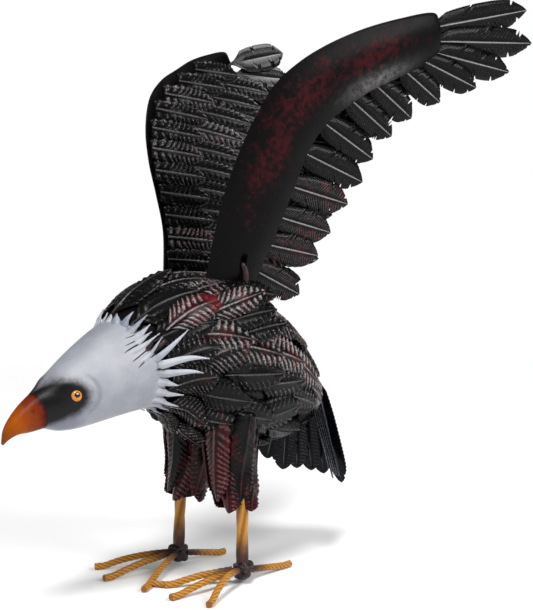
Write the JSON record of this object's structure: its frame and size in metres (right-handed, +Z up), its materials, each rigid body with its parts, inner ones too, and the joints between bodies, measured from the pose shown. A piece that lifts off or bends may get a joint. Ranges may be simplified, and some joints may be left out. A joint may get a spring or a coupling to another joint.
{
  "type": "eagle garden statue",
  "caption": "Standing metal eagle garden statue with raised lift-off wings, a coat of overlapping sheet feathers, a white head and bent rod feet.",
  "frame": {"origin": "bottom centre of the bounding box, on the floor under the statue", "axes": "-Y is the way the beak points, +X is the bird's left, +Z is up"},
  "size_m": [0.303, 0.4708, 0.5053],
  "materials": {
    "flight_feather": "semi-gloss black with dark red sponging",
    "covert_feather": "semi-gloss black with dark red sponging",
    "wing_plate": "semi-gloss black with dark red sponging",
    "coat_feather": "semi-gloss black, grey brushed ribs",
    "body_shell": "satin black",
    "tail_feather": "semi-gloss blue black",
    "mounting_steel": "satin black",
    "white_head": "satin white with grey shading",
    "beak": "gloss orange",
    "eye": "gloss amber with black pupil",
    "leg_rod": "gloss ochre",
    "weld": "gloss dark maroon"
  },
  "bodies": {
    "body": {"beak": "beak", "body_shell_left": "body_shell", "body_shell_right": "body_shell", "coat_back": "coat_feather", "coat_belly": "coat_feather", "coat_left": "coat_feather", "coat_right": "coat_feather", "head_shell": "white_head", "left_ankle_weld": "weld", "left_eye": "eye", "left_shank": "leg_rod", "left_sockets": "mounting_steel", "left_thigh_feathers": "coat_feather", "left_thigh_shell": "body_shell", "left_toes": "leg_rod", "neck_fringe": "white_head", "right_ankle_weld": "weld", "right_eye": "eye", "right_shank": "leg_rod", "right_sockets": "mounting_steel", "right_thigh_feathers": "coat_feather", "right_thigh_shell": "body_shell", "right_toes": "leg_rod", "tail_feathers": "tail_feather", "toe_tie": "leg_rod"},
    "left_wing": {"left_flight_01": "flight_feather", "left_flight_02": "flight_feather", "left_flight_03": "flight_feather", "left_flight_04": "flight_feather", "left_flight_05": "flight_feather", "left_flight_06": "flight_feather", "left_flight_07": "flight_feather", "left_flight_08": "flight_feather", "left_flight_09": "flight_feather", "left_flight_10": "flight_feather", "left_flight_11": "flight_feather", "left_flight_12": "flight_feather", "left_flight_13": "flight_feather", "left_front_coverts": "covert_feather", "left_rear_coverts": "covert_feather", "left_wing_hook": "mounting_steel", "left_wing_plate": "wing_plate"},
    "right_wing": {"right_flight_01": "flight_feather", "right_flight_02": "flight_feather", "right_flight_03": "flight_feather", "right_flight_04": "flight_feather", "right_flight_05": "flight_feather", "right_flight_06": "flight_feather", "right_flight_07": "flight_feather", "right_flight_08": "flight_feather", "right_flight_09": "flight_feather", "right_flight_10": "flight_feather", "right_flight_11": "flight_feather", "right_flight_12": "flight_feather", "right_flight_13": "flight_feather", "right_front_coverts": "covert_feather", "right_rear_coverts": "covert_feather", "right_wing_hook": "mounting_steel", "right_wing_plate": "wing_plate"}
  },
  "joints": [
    {"name": "left_wing_lift", "type": "slide", "parent": "body", "child": "left_wing", "axis": [0, 0, 1], "range_m": [0, 0.045]},
    {"name": "right_wing_lift", "type": "slide", "parent": "body", "child": "right_wing", "axis": [0, 0, 1], "range_m": [0, 0.045]}
  ]
}
